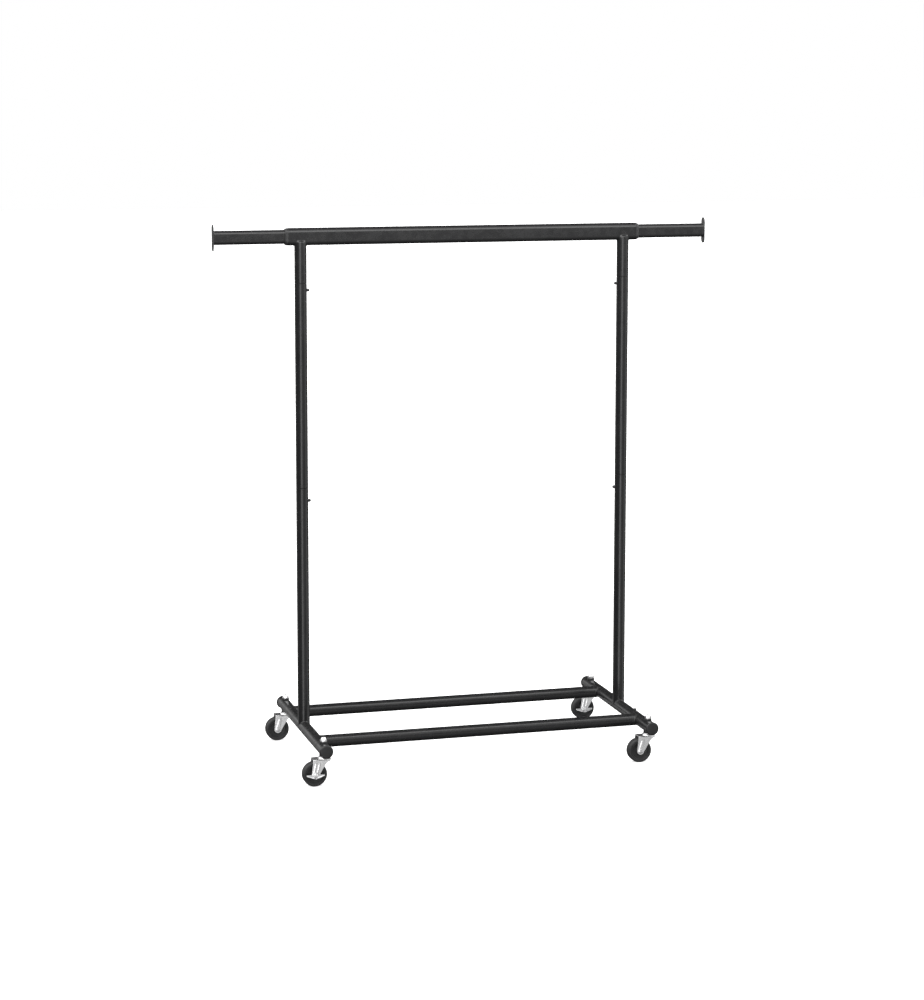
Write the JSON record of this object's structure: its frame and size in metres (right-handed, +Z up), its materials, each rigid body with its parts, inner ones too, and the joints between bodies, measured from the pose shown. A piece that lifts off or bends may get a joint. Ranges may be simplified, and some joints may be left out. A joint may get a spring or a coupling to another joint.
{
  "type": "rolling clothes rack",
  "caption": "Free-standing clothes rack on swivel casters, with a single oval hanging rail that extends at both ends and a low rectangular tube base.",
  "frame": {"origin": "on the floor, under the middle of the rack", "axes": "+Z up, -Y the front side, +X the right-hand end of the rail"},
  "size_m": [1.4736, 0.609, 1.569],
  "materials": {
    "powder_coat": "smooth semi-gloss black powder coat",
    "black_plastic": "moulded black plastic, satin",
    "zinc_plate": "bright zinc plate on pressed and turned steel",
    "wheel_rubber": "moulded black rubber, satin"
  },
  "bodies": {
    "frame": {"hanging_rail": "powder_coat", "front_bar": "powder_coat", "rear_bar": "powder_coat", "rail_collar_left": "black_plastic", "rail_stub_left": "powder_coat", "upright_middle_left": "powder_coat", "upright_lower_left": "powder_coat", "side_rail_left": "powder_coat", "rail_collar_right": "black_plastic", "rail_stub_right": "powder_coat", "upright_middle_right": "powder_coat", "upright_lower_right": "powder_coat", "side_rail_right": "powder_coat", "corner_tube_front_left": "powder_coat", "end_cap_front_left": "black_plastic", "caster_stem_front_left": "zinc_plate", "saddle_washer_front_left": "black_plastic", "stem_nut_front_left": "zinc_plate", "corner_tube_front_right": "powder_coat", "end_cap_front_right": "black_plastic", "caster_stem_front_right": "zinc_plate", "saddle_washer_front_right": "black_plastic", "stem_nut_front_right": "zinc_plate", "corner_tube_rear_left": "powder_coat", "end_cap_rear_left": "black_plastic", "caster_stem_rear_left": "zinc_plate", "saddle_washer_rear_left": "black_plastic", "stem_nut_rear_left": "zinc_plate", "corner_tube_rear_right": "powder_coat", "end_cap_rear_right": "black_plastic", "caster_stem_rear_right": "zinc_plate", "saddle_washer_rear_right": "black_plastic", "stem_nut_rear_right": "zinc_plate"},
    "extension_left": {"extension_rod_left": "powder_coat", "end_plate_left": "powder_coat"},
    "extension_right": {"extension_rod_right": "powder_coat", "end_plate_right": "powder_coat"},
    "button_upper_left": {"snap_button_upper_left": "black_plastic"},
    "button_lower_left": {"snap_button_lower_left": "black_plastic"},
    "button_front_left": {"snap_button_front_left": "black_plastic"},
    "button_rear_left": {"snap_button_rear_left": "black_plastic"},
    "button_upper_right": {"snap_button_upper_right": "black_plastic"},
    "button_lower_right": {"snap_button_lower_right": "black_plastic"},
    "button_front_right": {"snap_button_front_right": "black_plastic"},
    "button_rear_right": {"snap_button_rear_right": "black_plastic"},
    "caster_front_left": {"caster_fork_front_left": "zinc_plate", "caster_axle_front_left": "zinc_plate"},
    "wheel_front_left": {"caster_wheel_front_left": "wheel_rubber"},
    "caster_front_right": {"caster_fork_front_right": "zinc_plate", "caster_axle_front_right": "zinc_plate"},
    "wheel_front_right": {"caster_wheel_front_right": "wheel_rubber"},
    "caster_rear_left": {"caster_fork_rear_left": "zinc_plate", "caster_axle_rear_left": "zinc_plate"},
    "wheel_rear_left": {"caster_wheel_rear_left": "wheel_rubber"},
    "caster_rear_right": {"caster_fork_rear_right": "zinc_plate", "caster_axle_rear_right": "zinc_plate"},
    "wheel_rear_right": {"caster_wheel_rear_right": "wheel_rubber"},
    "brake_front_left": {"brake_rocker_front_left": "zinc_plate"},
    "brake_rear_right": {"brake_rocker_rear_right": "zinc_plate"}
  },
  "joints": [
    {"name": "extension_left_slide", "type": "slide", "parent": "frame", "child": "extension_left", "axis": [-1, 0, 0], "range_m": [-0.2, 0.03]},
    {"name": "extension_right_slide", "type": "slide", "parent": "frame", "child": "extension_right", "axis": [1, 0, 0], "range_m": [-0.2, 0.03]},
    {"name": "button_upper_left_press", "type": "slide", "parent": "frame", "child": "button_upper_left", "axis": [1, 0, 0], "range_m": [-0.0095, 0], "stiffness_N_per_m": 1200, "springref_m": 0.002},
    {"name": "button_lower_left_press", "type": "slide", "parent": "frame", "child": "button_lower_left", "axis": [1, 0, 0], "range_m": [-0.0095, 0], "stiffness_N_per_m": 1200, "springref_m": 0.002},
    {"name": "button_front_left_press", "type": "slide", "parent": "frame", "child": "button_front_left", "axis": [0, 0, 1], "range_m": [-0.0095, 0], "stiffness_N_per_m": 1200, "springref_m": 0.002},
    {"name": "button_rear_left_press", "type": "slide", "parent": "frame", "child": "button_rear_left", "axis": [0, 0, 1], "range_m": [-0.0095, 0], "stiffness_N_per_m": 1200, "springref_m": 0.002},
    {"name": "button_upper_right_press", "type": "slide", "parent": "frame", "child": "button_upper_right", "axis": [-1, 0, 0], "range_m": [-0.0095, 0], "stiffness_N_per_m": 1200, "springref_m": 0.002},
    {"name": "button_lower_right_press", "type": "slide", "parent": "frame", "child": "button_lower_right", "axis": [-1, 0, 0], "range_m": [-0.0095, 0], "stiffness_N_per_m": 1200, "springref_m": 0.002},
    {"name": "button_front_right_press", "type": "slide", "parent": "frame", "child": "button_front_right", "axis": [0, 0, 1], "range_m": [-0.0095, 0], "stiffness_N_per_m": 1200, "springref_m": 0.002},
    {"name": "button_rear_right_press", "type": "slide", "parent": "frame", "child": "button_rear_right", "axis": [0, 0, 1], "range_m": [-0.0095, 0], "stiffness_N_per_m": 1200, "springref_m": 0.002},
    {"name": "caster_front_left_swivel", "type": "hinge", "parent": "frame", "child": "caster_front_left", "pos_m": [-0.484, -0.262, 0.08], "axis": [0, 0, 1], "continuous": true},
    {"name": "wheel_front_left_roll", "type": "hinge", "parent": "caster_front_left", "child": "wheel_front_left", "pos_m": [-0.511, -0.262, 0.035], "axis": [0, 1, 0], "continuous": true},
    {"name": "caster_front_right_swivel", "type": "hinge", "parent": "frame", "child": "caster_front_right", "pos_m": [0.484, -0.262, 0.08], "axis": [0, 0, 1], "continuous": true},
    {"name": "wheel_front_right_roll", "type": "hinge", "parent": "caster_front_right", "child": "wheel_front_right", "pos_m": [0.457, -0.262, 0.035], "axis": [0, 1, 0], "continuous": true},
    {"name": "caster_rear_left_swivel", "type": "hinge", "parent": "frame", "child": "caster_rear_left", "pos_m": [-0.484, 0.262, 0.08], "axis": [0, 0, 1], "continuous": true},
    {"name": "wheel_rear_left_roll", "type": "hinge", "parent": "caster_rear_left", "child": "wheel_rear_left", "pos_m": [-0.511, 0.262, 0.035], "axis": [0, 1, 0], "continuous": true},
    {"name": "caster_rear_right_swivel", "type": "hinge", "parent": "frame", "child": "caster_rear_right", "pos_m": [0.484, 0.262, 0.08], "axis": [0, 0, 1], "continuous": true},
    {"name": "wheel_rear_right_roll", "type": "hinge", "parent": "caster_rear_right", "child": "wheel_rear_right", "pos_m": [0.457, 0.262, 0.035], "axis": [0, 1, 0], "continuous": true},
    {"name": "brake_front_left_rock", "type": "hinge", "parent": "caster_front_left", "child": "brake_front_left", "pos_m": [-0.511, -0.262, 0.035], "axis": [0, 1, 0], "range_deg": [-12, 12]},
    {"name": "brake_rear_right_rock", "type": "hinge", "parent": "caster_rear_right", "child": "brake_rear_right", "pos_m": [0.457, 0.262, 0.035], "axis": [0, 1, 0], "range_deg": [-12, 12]}
  ]
}
